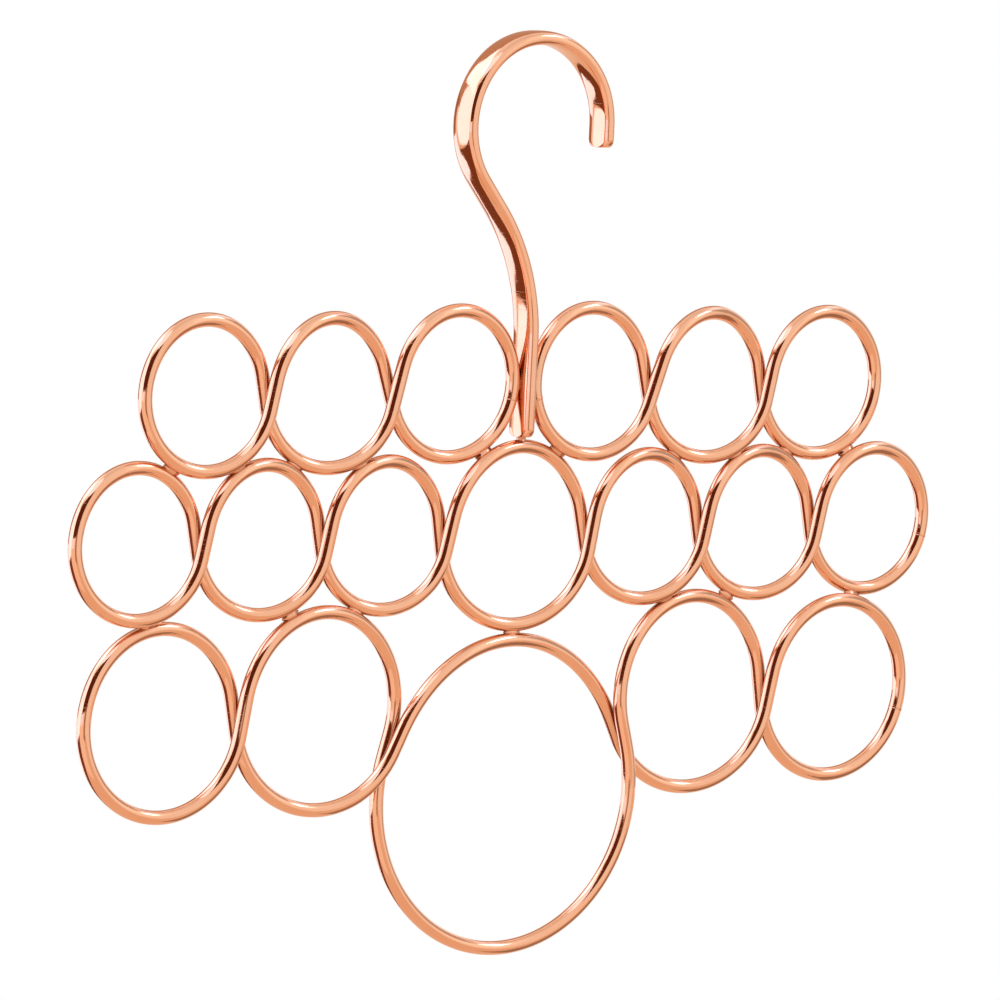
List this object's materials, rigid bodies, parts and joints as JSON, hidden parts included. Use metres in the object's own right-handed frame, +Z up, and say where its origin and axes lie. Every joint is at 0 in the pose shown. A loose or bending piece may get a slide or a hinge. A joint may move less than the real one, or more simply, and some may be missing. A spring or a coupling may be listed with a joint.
{
  "type": "scarf hanger",
  "caption": "Flat wire scarf hanger: rows of round loops woven from closed wires, welded under a flat-oval hook that hangs on a closet rod.",
  "frame": {"origin": "centre of the hook's arch, on the axis of the closet rod it hangs on, halfway across the bar's width", "axes": "+Z up along the stem, +X to the right across the loops seen from the front, on the side where the hook's tip is, +Y along the closet rod from the front to the back"},
  "size_m": [0.3702, 0.011, 0.3142],
  "materials": {
    "hook_bar": "polished copper-coloured plating on flat-oval steel bar",
    "loop_wire": "polished copper-coloured plating on round steel wire",
    "weld_metal": "weld metal under the same plating, slightly duller"
  },
  "bodies": {
    "root": {"hook": "hook_bar", "upper_left_wire": "loop_wire", "upper_right_wire": "loop_wire", "middle_wire": "loop_wire", "lower_wire": "loop_wire", "foot_weld": "weld_metal", "stem_side_welds": "weld_metal", "upper_row_welds": "weld_metal", "lower_row_welds": "weld_metal", "wire_joint_welds": "weld_metal"}
  },
  "joints": []
}
